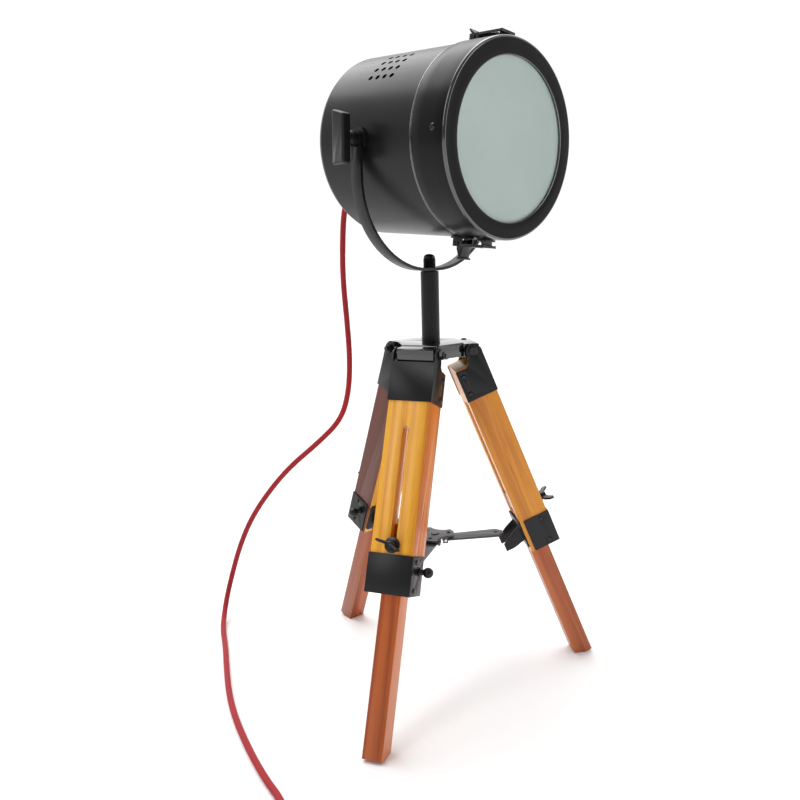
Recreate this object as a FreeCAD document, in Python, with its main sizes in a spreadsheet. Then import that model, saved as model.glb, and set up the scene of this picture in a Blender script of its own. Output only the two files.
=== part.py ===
import FreeCAD, Part
import os
import math

V = FreeCAD.Vector
Z = V(0, 0, 1)
doc = FreeCAD.newDocument("tripod_spotlight")

# ---------------------------------------------------------------- driving dimensions
DIMS = [
    # place of the spindle axis in the row frame, so the origin is the base centre
    ("axis_x", -30.085), ("axis_y", 11.554),
    # tripod
    ("leg_az", -21.8), ("hinge_rad", 39.3), ("hinge_z", 357.3), ("leg_tilt", 22.1),
    ("leg_w", 43.2), ("leg_in", -24.7), ("leg_out", 7.5), ("leg_top", 12.6), ("leg_bot", 231.3),
    ("sheet_t", 1.2), ("chan_w", 20.4), ("chan_floor", -3.0), ("chan_top", 53.0),
    ("slot_top", 72.0), ("slot_bot", 190.0), ("slot_w", 6.5),
    ("low_w", 20.0), ("low_in", -24.0), ("low_out", -3.4), ("low_top", 166.0), ("foot_out", 380.6),
    ("brk_bot", 47.8), ("brk_notch", 13.9), ("ear_rad", 7.6), ("collar_top", 194.2), ("collar_in", -20.9),
    ("wing_s", 185.9), ("knob_s", 208.3), ("knob_n", -10.3),
    ("pin_rad", 2.5), ("ear_hole", 2.6),
    # top plate and spindle
    ("plate_top", 365.6), ("plate_bot", 351.6), ("pad_w", 38.0), ("pad_root", 31.0), ("pad_rad", 7.0),
    ("tube_rad", 9.3), ("tube_wall", 1.5), ("tube_top", 437.4), ("stud_rad", 6.0), ("stud_top", 454.5),
    # spreader
    ("arm_z", 150.7), ("arm_t", 2.0), ("arm_in", 10.0), ("arm_out", 76.0), ("arm_w_in", 16.0), ("arm_w_out", 20.0),
    ("hub_rad", 21.0), ("hub_t", 2.0), ("clevis_s", 210.0), ("clevis_long", 33.0), ("clevis_reach", 24.0),
    # yoke
    ("yoke_half", 90.0), ("yoke_t", 3.0), ("yoke_w", 13.5), ("yoke_bend", 84.0), ("pivot_z", 558.9),
    # head
    ("pan", 42.9), ("tilt", -2.9), ("head_rad", 85.8), ("head_wall", 1.4), ("head_back", 56.8), ("seam", 68.9),
    ("bezel_rad", 87.2), ("bezel_front", 108.5), ("bezel_wall", 1.6), ("face_hole", 70.8), ("lens_rad", 80.0),
    ("lens_front", 106.3), ("lens_t", 3.0), ("vent_rad", 2.6), ("vent_pitch", 9.5), ("vent_step", 7.2), ("latch_az", -5.0),
    # lead
    ("cord_rad", 3.15),
]
sheet = doc.addObject("Spreadsheet::Sheet", "dims")
D = {}
for i, (name, val) in enumerate(DIMS, start=1):
    sheet.set("A%d" % i, name)
    sheet.set("B%d" % i, repr(float(val)))
    sheet.setAlias("B%d" % i, name)
    D[name] = float(val)
doc.recompute()


class Q:
    """A length from the sheet: its number and the expression that gives it."""

    def __init__(self, v, e):
        self.v, self.e = float(v), e

    @staticmethod
    def of(o):
        return o if isinstance(o, Q) else Q(o, repr(float(o)))

    def __add__(self, o):
        o = Q.of(o)
        return Q(self.v + o.v, "(%s + %s)" % (self.e, o.e))

    def __sub__(self, o):
        o = Q.of(o)
        return Q(self.v - o.v, "(%s - %s)" % (self.e, o.e))

    def __mul__(self, o):
        o = Q.of(o)
        return Q(self.v * o.v, "(%s * %s)" % (self.e, o.e))

    def __truediv__(self, o):
        o = Q.of(o)
        return Q(self.v / o.v, "(%s / %s)" % (self.e, o.e))

    def __neg__(self):
        return Q(-self.v, "(0 - %s)" % self.e)

    __radd__ = __add__
    __rmul__ = __mul__

    def __rsub__(self, o):
        return Q.of(o) - self


def d(name):
    return Q(D[name], "dims." + name)


def bind(obj, prop, q):
    q = Q.of(q)
    if "dims." in q.e:
        obj.setExpression(prop, q.e)
    else:
        setattr(obj, prop, q.v)
    return obj


COUNT = [0]


def nm(stem):
    COUNT[0] += 1
    return "%s_%d" % (stem, COUNT[0])


def place(obj, x=0, y=0, z=0, rot=None):
    obj.Placement = FreeCAD.Placement(V(x, y, z), rot or FreeCAD.Rotation())
    return obj


# rotation that carries +Z onto a given direction
def along(x, y, z):
    return FreeCAD.Rotation(Z, V(x, y, z))


def cyl(rad, height, at=(0, 0, 0), axis=(0, 0, 1)):
    o = doc.addObject("Part::Cylinder", nm("cyl"))
    bind(o, "Radius", rad)
    bind(o, "Height", height)
    return place(o, at[0], at[1], at[2], along(*axis))


def cone(r1, r2, height, at=(0, 0, 0), axis=(0, 0, 1)):
    o = doc.addObject("Part::Cone", nm("cone"))
    bind(o, "Radius1", r1)
    bind(o, "Radius2", r2)
    bind(o, "Height", height)
    return place(o, at[0], at[1], at[2], along(*axis))


def ball(rad, at=(0, 0, 0)):
    o = doc.addObject("Part::Sphere", nm("ball"))
    bind(o, "Radius", rad)
    return place(o, *at)


def box(lx, ly, lz, at=(0, 0, 0), rot=None):
    """Box whose low corner is at the given point."""
    o = doc.addObject("Part::Box", nm("box"))
    bind(o, "Length", lx)
    bind(o, "Width", ly)
    bind(o, "Height", lz)
    return place(o, at[0], at[1], at[2], rot)


def span(x0, x1, y0, y1, z0, z1):
    """Box between two corners, each a number or a sheet length."""
    a = [Q.of(v) for v in (x0, x1, y0, y1, z0, z1)]
    o = doc.addObject("Part::Box", nm("box"))
    bind(o, "Length", a[1] - a[0])
    bind(o, "Width", a[3] - a[2])
    bind(o, "Height", a[5] - a[4])
    for p, q in (("x", a[0]), ("y", a[2]), ("z", a[4])):
        if "dims." in q.e:
            o.setExpression("Placement.Base." + p, q.e)
    o.Placement.Base = V(a[0].v, a[2].v, a[4].v)
    return o


def fuse(parts):
    if len(parts) == 1:
        return parts[0]
    o = doc.addObject("Part::MultiFuse", nm("fuse"))
    o.Shapes = parts
    o.Refine = True
    return o


def cut(base, tools):
    o = doc.addObject("Part::Cut", nm("cut"))
    o.Base = base
    o.Tool = fuse(tools)
    o.Refine = True
    return o


def group(parts):
    o = doc.addObject("Part::Compound", nm("group"))
    o.Links = parts
    return o


def fillet(base, edges, r):
    o = doc.addObject("Part::Fillet", nm("fillet"))
    o.Base = base
    doc.recompute()
    o.Edges = [(i, r, r) for i in edges]
    return o


def sketch(body, plane, pts, offset=None):
    """Closed outline through points, every point held to the sheet."""
    sk = body.newObject("Sketcher::SketchObject", nm("outline"))
    feat = [f for f in body.Origin.OriginFeatures if f.Role == plane][0]
    sk.AttachmentSupport = [(feat, "")]
    sk.MapMode = "FlatFace"
    if offset is not None:
        sk.AttachmentOffset = FreeCAD.Placement(V(0, 0, Q.of(offset).v), FreeCAD.Rotation())
        if "dims." in Q.of(offset).e:
            sk.setExpression("AttachmentOffset.Base.z", Q.of(offset).e)
    pts = [(Q.of(a), Q.of(b)) for a, b in pts]
    n = len(pts)
    import Sketcher
    for i in range(n):
        a, b = pts[i], pts[(i + 1) % n]
        sk.addGeometry(Part.LineSegment(V(a[0].v, a[1].v, 0), V(b[0].v, b[1].v, 0)), False)
    for i in range(n):
        sk.addConstraint(Sketcher.Constraint("Coincident", i, 2, (i + 1) % n, 1))
    for i in range(n):
        for kind, q in (("DistanceX", pts[i][0]), ("DistanceY", pts[i][1])):
            c = sk.addConstraint(Sketcher.Constraint(kind, -1, 1, i, 1, q.v))
            if "dims." in q.e:
                sk.setExpression("Constraints[%d]" % c, q.e)
    return sk


def new_body(stem):
    return doc.addObject("PartDesign::Body", nm(stem))


def pad(plane, pts, length, offset=None, mid=False):
    """Outline raised into a plate or block, normal to its plane."""
    b = new_body("plate")
    sk = sketch(b, plane, pts, offset)
    p = b.newObject("PartDesign::Pad", nm("pad"))
    p.Profile = sk
    bind(p, "Length", length)
    if mid:
        p.Midplane = True
    b.Tip = p
    return b


def turn(pts, plane="XZ_Plane", axis="V_Axis"):
    """Outline turned a full circle about the sketch's own axis."""
    b = new_body("turned")
    sk = sketch(b, plane, pts)
    r = b.newObject("PartDesign::Revolution", nm("rev"))
    r.Profile = sk
    r.ReferenceAxis = (sk, [axis])
    r.Angle = 360.0
    b.Tip = r
    return b


NODES = []


def node(label, obj, frame):
    """A finished piece: its name and its place in the row frame."""
    if obj.TypeId.startswith("Part::Feature") or obj.TypeId == "Part::Feature":
        obj.Placement = frame.multiply(obj.Placement)
    elif obj.TypeId in ("Part::Box", "Part::Cylinder", "Part::Cone", "Part::Sphere", "Part::Torus"):
        obj.ExpressionEngine
        g = group([obj])
        obj = g
        obj.Placement = frame
    else:
        obj.Placement = frame.multiply(obj.Placement)
    obj.Label = label
    NODES.append(obj)
    return obj


ORG = V(D["axis_x"], D["axis_y"], 0)
BASE = FreeCAD.Placement(ORG, FreeCAD.Rotation())
HEAD = FreeCAD.Placement(ORG + V(0, 0, D["pivot_z"]), FreeCAD.Rotation(D["pan"] - 90, -D["tilt"], 0))
YOKE = FreeCAD.Placement(ORG + V(0, 0, 0), FreeCAD.Rotation(D["pan"] - 90, 0, 0))


def leg_frame(k):
    th = math.radians(D["leg_az"] + 120 * k)
    org = ORG + V(D["hinge_rad"] * math.sin(th), -D["hinge_rad"] * math.cos(th), D["hinge_z"])
    return FreeCAD.Placement(org, FreeCAD.Rotation(D["leg_az"] + 120 * k - 90, -D["leg_tilt"], 0))


def radial_frame(k):
    """x outward along leg k, y tangential, origin on the floor under the spindle."""
    return FreeCAD.Placement(ORG, FreeCAD.Rotation(D["leg_az"] + 120 * k - 90, 0, 0))


LEGS = ((0, "a"), (1, "b"), (-1, "c"))

# ---------------------------------------------------------------- top plate
core_pts = []
for k in (0, 1, 2):
    th = math.radians(D["leg_az"] + 120 * k)
    er, et = V(math.sin(th), -math.cos(th), 0), V(math.cos(th), math.sin(th), 0)
    for sgn in (-1, 1):
        p = er * D["pad_root"] + et * (sgn * D["pad_w"] / 2)
        core_pts.append(p)
core = Part.Face(Part.makePolygon(core_pts + [core_pts[0]])).extrude(V(0, 0, D["plate_top"] - D["plate_bot"]))
core.translate(V(0, 0, D["plate_bot"]))
core = core.makeFillet(3.0, [e for e in core.Edges if abs(e.tangentAt(e.FirstParameter).z) > 0.9])
tops = [e for e in core.Edges if abs(e.CenterOfMass.z - D["plate_top"]) < 1e-3]
core = core.makeFillet(1.6, tops)
for k in (0, 1, 2):
    # hinge pad: block with a flat nose, its front edges eased
    w, r, hz = D["pad_w"], D["pad_rad"], D["hinge_z"]
    p = Part.makeBox(D["hinge_rad"] + r - 25, w, 2 * r, V(25, -w / 2, hz - r))
    p = p.makeFillet(1.7, [e for e in p.Edges if abs(e.CenterOfMass.x - D["hinge_rad"] - r) < 1e-3 and abs(e.tangentAt(e.FirstParameter).y) > 0.9])
    p = p.cut(Part.makeCylinder(D["pin_rad"] + 0.08, w + 2, V(D["hinge_rad"], -w / 2 - 1, hz), V(0, 1, 0)))
    p.Placement = FreeCAD.Placement(V(), FreeCAD.Rotation(D["leg_az"] + 120 * k - 90, 0, 0))
    core = core.fuse(p)
core = core.removeSplitter()
# socket for the spindle and three tapped holes
core = core.cut(Part.makeCylinder(D["tube_rad"] + 0.0, 8, V(0, 0, D["plate_top"] - 6)))
SCREW_AT = []
for k in (0, 1, 2):
    th = math.radians(D["leg_az"] + 120 * k + 60)
    SCREW_AT.append(V(22.5 * math.sin(th), -22.5 * math.cos(th), 0))
    core = core.cut(Part.makeCylinder(1.7, 17.2, SCREW_AT[-1] + V(0, 0, D["plate_bot"] - 5)))
plate = doc.addObject("Part::Feature", "top_plate")
plate.Shape = core
node("top_plate", plate, BASE)

# round-head screws with a cross slot, put up into the plate from below
scr = []
for p in SCREW_AT:
    zb = D["plate_bot"]
    hd = cut(fuse([cyl(3.6, 1.2, (p.x, p.y, zb - 0.02), (0, 0, -1)), cone(3.6, 2.2, 1.1, (p.x, p.y, zb - 1.22), (0, 0, -1)),
                   cyl(1.6, 12, (p.x, p.y, zb - 0.1))]),
             [box(4.4, 0.8, 1.2, (p.x - 2.2, p.y - 0.4, zb - 2.7)), box(0.8, 4.4, 1.2, (p.x - 0.4, p.y - 2.2, zb - 2.7))])
    scr.append(hd)
node("plate_screws", group(scr), BASE)

# ---------------------------------------------------------------- spindle
# tube with a closed shoulder at its top, where the stud is screwed in
t0 = d("plate_top") - 6
tube = turn([(d("tube_rad") - d("tube_wall"), t0), (d("tube_rad"), t0), (d("tube_rad"), d("tube_top") - 0.8),
             (d("tube_rad") - 0.8, d("tube_top")), (d("stud_rad"), d("tube_top")), (d("stud_rad"), d("tube_top") - 12),
             (d("tube_rad") - d("tube_wall"), d("tube_top") - 12)])
node("spindle_tube", tube, BASE)
# threaded stud, domed, with shallow thread grooves above the strap
sr = d("stud_rad")
pts = [(0.0, d("tube_top") - 12), (sr, d("tube_top") - 12), (sr, d("tube_top") + 3.4)]
z = 3.4
while z < 12.4:
    pts += [(sr + 0.55, d("tube_top") + (z + 0.45)), (sr, d("tube_top") + (z + 0.9))]
    z += 0.9
pts += [(sr - 0.5, d("stud_top") - 2.2), (sr - 2.2, d("stud_top") - 0.7), (sr - 4.4, d("stud_top")), (0.0, d("stud_top"))]
node("spindle_stud", turn(pts), BASE)

# ---------------------------------------------------------------- hinge bolts, one through each pad
bolts = []
for k, tag in LEGS:
    f = radial_frame(k)
    hz, hr, w = D["hinge_z"], D["hinge_rad"], D["leg_w"] / 2 + D["sheet_t"]
    shank = Part.makeCylinder(D["pin_rad"], 2 * w + 7.5, V(hr, -w - 1.0, hz), V(0, 1, 0))
    head = Part.makeCylinder(4.6, 2.4, V(hr, -w - 2.9, hz), V(0, 1, 0))
    head = head.makeFillet(1.0, [e for e in head.Edges if abs(e.CenterOfMass.y + w + 2.9) < 1e-3])
    head = head.cut(Part.makeBox(0.9, 1.2, 7, V(hr - 0.45, -w - 3.2, hz - 3.5)))
    nutp = [V(hr + 4.6 * math.cos(math.radians(60 * i)), w + 0.5, hz + 4.6 * math.sin(math.radians(60 * i))) for i in range(7)]
    nut = Part.Face(Part.makePolygon(nutp)).extrude(V(0, 3.6, 0))
    wash = [Part.makeCylinder(5.2, 1.3, V(hr, s, hz), V(0, 1, 0)) for s in (-D["pad_w"] / 2 - 1.6, D["pad_w"] / 2 + 0.3)]
    sol = shank.fuse([head, nut] + wash).removeSplitter()
    sol.Placement = f
    bolts.append(sol)
b = doc.addObject("Part::Feature", "pivot_bolts")
b.Shape = Part.Compound(bolts)
b.Placement = FreeCAD.Placement(ORG * 0, FreeCAD.Rotation())
b.Label = "pivot_bolts"
NODES.append(b)

# ---------------------------------------------------------------- legs
# leg frame: x outward from the leg's outer face, y across, z up along the leg, origin at the hinge
for k, tag in LEGS:
    LF = leg_frame(k)
    hw, st = d("leg_w") / 2, d("sheet_t")
    # folded sheet bracket: front wall, two side walls and two rounded ears
    g = 0.0
    front = span(d("leg_out") + g, d("leg_out") + st, -(hw + st), hw + st, -d("brk_bot"), -9.0)
    sides = []
    for sgn in (-1, 1):
        y0 = (-(hw + st)) if sgn < 0 else hw
        y1 = -hw if sgn < 0 else (hw + st)
        sides.append(span(d("leg_in") - 0.7, d("leg_out") + st, y0, y1, -d("brk_bot"), -d("brk_notch")))
        # ear from the notch up to the pivot, with a slanted inner edge
        sides.append(cut(pad("XZ_Plane", [(-6.9, 3.0), (-9.5, -d("brk_notch") + 3.5), (-14.5, -d("brk_notch") - 0.5), (d("leg_out") + st, -d("brk_notch") - 0.5),
                                          (d("leg_out") + st, 0.0), (6.9, 3.0)], st, offset=(-y1)), [cyl(d("ear_hole"), 6, (0, y0.v - 2, 0), (0, 1, 0))]))
        sides.append(cut(cyl(d("ear_rad"), st, (0, y0.v, 0), (0, 1, 0)), [cyl(d("ear_hole"), 6, (0, y0.v - 2, 0), (0, 1, 0))]))
    # holes for the small screws
    scr_at = [(-19.5, -21.0), (-19.5, -40.5)]
    brk = cut(fuse([front] + sides), [cyl(1.5, 60, (n, -30, s), (0, 1, 0)) for n, s in scr_at])
    node("leg_bracket_" + tag, brk, LF)

    # upper leg: block with an open channel on the inner side and a slot through the outer web
    wood = pad("XY_Plane", [(d("leg_in"), -hw), (d("leg_in"), -(d("chan_w") / 2)), (d("chan_floor"), -(d("chan_w") / 2)), (d("chan_floor"), d("chan_w") / 2),
                            (d("leg_in"), d("chan_w") / 2), (d("leg_in"), hw), (d("leg_out"), hw), (d("leg_out"), -hw)],
               d("leg_bot") - d("chan_top"), offset=-d("leg_bot"))
    top = span(d("leg_in"), d("leg_out"), -hw, hw, -d("chan_top"), -d("leg_top"))
    slot = [span(d("chan_floor") - 1, d("leg_out") + 1, -(d("slot_w") / 2), d("slot_w") / 2, -d("slot_bot"), -d("slot_top") - 3),
            cyl(d("slot_w") / 2, 14, (D["chan_floor"] - 1, 0, -D["slot_top"] - D["slot_w"] / 2), (1, 0, 0)),
            cyl(d("slot_w") / 2, 14, (D["chan_floor"] - 1, 0, -D["slot_bot"]), (1, 0, 0))]
    holes = [cyl(1.2, 60, (n, -30, s), (0, 1, 0)) for n, s in scr_at]
    knobhole = cyl(2.1, 40, (D["knob_n"], 0, -D["knob_s"]), (0, 1, 0))
    col_at = [(-2.0, -199.5), (-2.0, -226.0)]
    colh = [cyl(1.2, 60, (n, -30, s), (0, 1, 0)) for n, s in col_at]
    upper = cut(fuse([wood, top]), slot + holes + [knobhole] + colh)
    node("upper_leg_" + tag, upper, LF)

    # collar: sheet box round the outer face and both sides
    cy = hw + st
    prof = [(d("collar_in"), -cy), (d("leg_out") + st, -cy), (d("leg_out") + st, cy), (d("collar_in"), cy),
            (d("collar_in"), hw), (d("leg_out"), hw), (d("leg_out"), -hw), (d("collar_in"), -hw)]
    col = cut(pad("XY_Plane", prof, d("leg_bot") - d("collar_top"), offset=-d("leg_bot")),
              [cyl(2.1, 40, (D["knob_n"], 0, -D["knob_s"]), (0, 1, 0))] + [cyl(1.5, 60, (n, -30, s), (0, 1, 0)) for n, s in col_at])
    node("leg_collar_" + tag, col, LF)

    # small pan-head screws of the bracket and the collar, both sides
    sm = []
    yy = D["leg_w"] / 2 + D["sheet_t"]
    for n, s in scr_at + col_at:
        for sgn in (-1, 1):
            sm.append(fuse([cyl(1.15, 8.0, (n, sgn * (yy - 7.5), s), (0, sgn, 0)), cone(2.9, 1.9, 1.3, (n, sgn * (yy + 0.02), s), (0, sgn, 0))]))
    node("leg_screws_" + tag, group(sm), LF)

    # lower leg: plain stick, its end cut level with the floor and eased at the outer edge
    ct, sp = math.cos(math.radians(D["leg_tilt"])), math.sin(math.radians(D["leg_tilt"]))
    s_at = lambda n: (D["hinge_z"] + n * sp) / ct
    low = pad("XZ_Plane", [(d("low_in"), -d("low_top")), (d("low_in"), -s_at(D["low_in"])), (-12.0, -s_at(-12.0)),
                           (d("low_out"), -d("foot_out")), (d("low_out"), -d("low_top"))], d("low_w"), mid=True)
    low = cut(low, [cyl(3.1, 40, (-32, 0, -D["wing_s"]), (1, 0, 0))])
    node("lower_leg_" + tag, low, LF)

    # wing screw: shank through the slot into the lower leg, washer, hub and two swept wings
    ws = -D["wing_s"]
    lo = D["leg_out"]
    shank = Part.makeCylinder(3.0, lo + 22.5, V(-18.0, 0, ws), V(1, 0, 0))
    wash = Part.makeCylinder(7.5, 1.2, V(lo + 0.35, 0, ws), V(1, 0, 0))
    hub = Part.makeCone(5.0, 4.0, 7.5, V(lo + 1.5, 0, ws), V(1, 0, 0))
    wings = []
    for sgn in (-1, 1):
        pl = [V(lo + 2.5, 1.5 * sgn, ws), V(lo + 5.0, 8.5 * sgn, ws), V(lo + 10.0, 12.5 * sgn, ws), V(lo + 14.5, 12.8 * sgn, ws),
              V(lo + 15.0, 10.0 * sgn, ws), V(lo + 10.5, 6.0 * sgn, ws), V(lo + 8.8, 1.5 * sgn, ws)]
        w1 = Part.Face(Part.makePolygon(pl + [pl[0]])).extrude(V(0, 0, 2.4))
        w1.translate(V(0, 0, -1.2))
        w1 = w1.makeFillet(0.7, [e for e in w1.Edges if abs(e.tangentAt(e.FirstParameter).z) < 0.1 and e.CenterOfMass.x > lo + 6])
        wings.append(w1)
    wing = shank.fuse([wash, hub] + wings).removeSplitter()
    # wings turned on the thread, each leg a little differently
    wing.rotate(V(0, 0, ws), V(1, 0, 0), {"a": -20, "b": 12, "c": 35}[tag])
    o = doc.addObject("Part::Feature", nm("wing"))
    o.Shape = wing
    node("wing_screw_" + tag, o, LF)

    # thumb knob on the collar's side: screw, neck and ball
    yk = D["leg_w"] / 2 + D["sheet_t"]
    kn, ks = D["knob_n"], -D["knob_s"]
    knob = fuse([cyl(2.0, yk - 10.35 + 3, (kn, 10.35, ks), (0, 1, 0)), cyl(4.2, 1.4, (kn, yk + 0.35, ks), (0, 1, 0)), cone(3.2, 2.4, 4.4, (kn, yk + 1.75, ks), (0, 1, 0)), ball(5.0, (kn, yk + 9.4, ks))])
    node("collar_knob_" + tag, knob, LF)

    # arm bracket: plate over the channel with two long side ears that the arm lies between
    cs, cl = -D["clevis_s"], D["clevis_long"]
    bi = D["leg_in"] - 0.15
    bw = D["arm_w_out"] / 2 + 0.5
    pl = Part.makeBox(1.6, 41.0, cl, V(bi - 1.6, -20.5, cs - cl / 2))
    pl = pl.makeFillet(3.0, [e for e in pl.Edges if abs(e.tangentAt(e.FirstParameter).x) > 0.9])
    ears = []
    for sgn in (-1, 1):
        y0 = bw if sgn > 0 else -bw - 1.6
        e = Part.Face(Part.makePolygon([V(bi - 0.5, y0, cs - 9), V(bi - 0.5, y0, cs + 9), V(bi - 12, y0, cs + 4.0), V(bi - D["clevis_reach"], y0, cs - 3.5),
                                        V(bi - D["clevis_reach"], y0, cs - 12.5), V(bi - 14, y0, cs - 12.5), V(bi - 0.5, y0, cs - 9)])).extrude(V(0, 1.6, 0))
        ears.append(e)
    o = doc.addObject("Part::Feature", nm("clevis"))
    o.Shape = pl.fuse(ears).removeSplitter()
    node("arm_bracket_" + tag, o, LF)

    # spreader arm: tapered strip with a rolled eye at the hub end and a small flange along each side
    RF = radial_frame(k)
    az, at_, ai, ao = D["arm_z"], D["arm_t"], D["arm_in"], D["arm_out"]
    wi, wo = D["arm_w_in"] / 2, D["arm_w_out"] / 2
    strip = Part.Face(Part.makePolygon([V(ai, -wi, az - 1), V(ao - 6, -wo, az - 1), V(ao, -wo + 6, az - 1), V(ao, wo - 6, az - 1), V(ao - 6, wo, az - 1),
                                        V(ai, wi, az - 1), V(ai, -wi, az - 1)])).extrude(V(0, 0, at_))
    eye = Part.makeCylinder(3.0, 2 * wi, V(ai, -wi, az), V(0, 1, 0))
    arm = strip.fuse(eye).removeSplitter().cut(Part.makeCylinder(1.58, 40, V(ai, -20, az), V(0, 1, 0)))
    arm = arm.cut(Part.makeCylinder(2.2, 10, V(ao - 8, 0, az - 5)))
    o = doc.addObject("Part::Feature", nm("arm"))
    o.Shape = arm
    node("spreader_arm_" + tag, o, RF)

# ---------------------------------------------------------------- spreader hub
az, ai = D["arm_z"], D["arm_in"]
wi = D["arm_w_in"] / 2
hub = Part.makeCylinder(D["hub_rad"], D["hub_t"], V(0, 0, az + 3.3))
for k, tag in LEGS:
    # the disc is trimmed between the arms into a rounded three-armed plate
    th = D["leg_az"] + 120 * k + 60
    c = Part.makeCylinder(16, 20, V(29 * math.sin(math.radians(th)), -29 * math.cos(math.radians(th)), az - 5))
    hub = hub.cut(c)
pins = []
for k, tag in LEGS:
    R = radial_frame(k)
    R = FreeCAD.Placement(V(), R.Rotation)
    for sgn in (-1, 1):
        y0 = wi + 0.3 if sgn > 0 else -wi - 0.3 - 1.4
        lug = Part.makeBox(5.6, 1.4, 7.0, V(ai - 2.8, y0, az - 3.0))
        lug = lug.cut(Part.makeCylinder(1.5, 40, V(ai, -20, az), V(0, 1, 0)))
        lug.Placement = R
        hub = hub.fuse(lug)
    p = Part.makeCylinder(1.5, 2 * (wi + 1.7) + 1.0, V(ai, -wi - 2.2, az), V(0, 1, 0))
    # rivet head that shows on top of the plate above each pin
    p.Placement = R
    pins.append(p)
    rv = Part.makeSphere(2.4, V(15.0, 0, az + 5.0)).common(Part.makeBox(10, 10, 10, V(10, -5, az + 5.3)))
    rv.Placement = R
    hub = hub.fuse(rv)
hub = hub.fuse(Part.makeCylinder(4.4, 1.4, V(0, 0, az + 5.3))).removeSplitter()
o = doc.addObject("Part::Feature", nm("hub"))
o.Shape = hub
node("spreader_hub", o, BASE)
o = doc.addObject("Part::Feature", nm("pins"))
o.Shape = Part.Compound(pins)
node("hub_pins", o, BASE)

# ---------------------------------------------------------------- yoke
# yoke frame: y across between the arms, z up, x forward; one strap bent to a U
yh, yt, yb, pz = D["yoke_half"], D["yoke_t"], D["yoke_bend"], D["pivot_z"]
depth = pz - (D["tube_top"] + 0.35 + yt / 2)


def u_face(r_extra):
    h, r = yh + r_extra, yb + r_extra
    cy, cz = yh - yb, pz - depth + yb
    topz = pz
    c45 = math.cos(math.radians(45))
    e = [Part.LineSegment(V(0, -h, topz), V(0, -h, cz)),
         Part.Arc(V(0, -h, cz), V(0, -cy - r * c45, cz - r * c45), V(0, -cy, cz - r)),
         Part.LineSegment(V(0, -cy, cz - r), V(0, cy, cz - r)),
         Part.Arc(V(0, cy, cz - r), V(0, cy + r * c45, cz - r * c45), V(0, h, cz)),
         Part.LineSegment(V(0, h, cz), V(0, h, topz))]
    return [x.toShape() for x in e]


outer, inner = u_face(yt / 2), u_face(-yt / 2)
w = Part.Wire(outer + [Part.makeLine(V(0, yh + yt / 2, pz), V(0, yh - yt / 2, pz))] + list(reversed(inner)) + [Part.makeLine(V(0, -yh + yt / 2, pz), V(0, -yh - yt / 2, pz))])
strap = Part.Face(w).extrude(V(D["yoke_w"], 0, 0))
strap.translate(V(-D["yoke_w"] / 2, 0, 0))
for sgn in (-1, 1):
    end = Part.makeCylinder(D["yoke_w"] / 2, yt, V(0, sgn * yh - yt / 2, pz), V(0, 1, 0))
    strap = strap.fuse(end)
strap = strap.removeSplitter()
strap = strap.cut(Part.makeCylinder(3.1, 260, V(0, -130, pz), V(0, 1, 0)))
strap = strap.cut(Part.makeCylinder(D["stud_rad"] + 0.1, 20, V(0, 0, pz - depth - 10)))
o = doc.addObject("Part::Feature", "yoke_strap")
o.Shape = strap
node("yoke_strap", o, YOKE)

# ---------------------------------------------------------------- head
# head frame: x forward along the barrel, y along the tilt axis, z up, origin on the tilt axis
hr, hwall = d("head_rad"), d("head_wall")
# barrel: open tube, its front end necked in to carry the bezel
shell = turn([(hr - hwall, -d("head_back")), (hr, -d("head_back")), (hr, d("seam") - 1.0), (hr - 1.6, d("seam") - 1.0),
              (hr - 1.6, d("seam") + 9.0), (hr - 1.6 - hwall, d("seam") + 9.0), (hr - 1.6 - hwall, d("seam") - 2.4), (hr - hwall, d("seam") - 2.4)], plane="XY_Plane", axis="V_Axis")
# the sketch's vertical axis is the barrel's axis, laid along x by this turn
LAY = FreeCAD.Placement(V(), FreeCAD.Rotation(Z, -90))
vents = []
for side in (-1, 1):
    for row in range(4):
        ang = math.radians(28.9 + row * D["vent_step"])
        for colm in range(4):
            x = -7.0 + colm * D["vent_pitch"]
            dy, dz = side * math.sin(ang), math.cos(ang)
            vents.append(cyl(d("vent_rad"), 12, (x, dy * (D["head_rad"] - 6), dz * (D["head_rad"] - 6)), (0, dy, dz)))
shell.Placement = LAY
pivh = [cyl(4.1, 14, (0, s * 78, 0), (0, s, 0)) for s in (-1, 1)]
latchh = []
body_shell = cut(shell, vents + pivh)
node("body_shell", body_shell, HEAD)

# rear cover: shallow pan with a rounded rim, slots for cooling, a hole for the gland and one for the switch
rear = turn([(0.0, -d("head_back") - 10.0), (hr - 14.0, -d("head_back") - 10.0), (hr - 7.0, -d("head_back") - 8.6), (hr - 2.0, -d("head_back") - 4.6), (hr, -d("head_back") - 0.05),
             (hr - 1.6, -d("head_back") - 0.05), (hr - 1.6, -d("head_back") + 8.0), (hr - 3.0, -d("head_back") + 8.0), (hr - 3.0, -d("head_back") - 1.2),
             (hr - 6.6, -d("head_back") - 6.2), (hr - 13.0, -d("head_back") - 8.4), (0.0, -d("head_back") - 8.4)], plane="XY_Plane")
rear.Placement = LAY
GY, GZ = 4.0, -38.0
SWY, SWZ = 30.0, -36.0
slots = []
for i in range(5):
    for sgn in (-1, 1):
        zc = 20.0 + i * 9.0
        slots.append(box(20, 26 - 3 * i, 3.0, (-75, (8 if sgn > 0 else -8 - (26 - 3 * i)), zc)))
rear_cover = cut(rear, slots + [cyl(5.05, 30, (-80, GY, GZ), (1, 0, 0)), box(20, 19.4, 13.0, (-75, SWY - 9.7, SWZ - 6.5)),
                                cyl(1.6, 30, (-80, 0, 14), (1, 0, 0)), cyl(1.6, 30, (-80, 0, -14), (1, 0, 0))])
node("rear_cover", rear_cover, HEAD)

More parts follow.
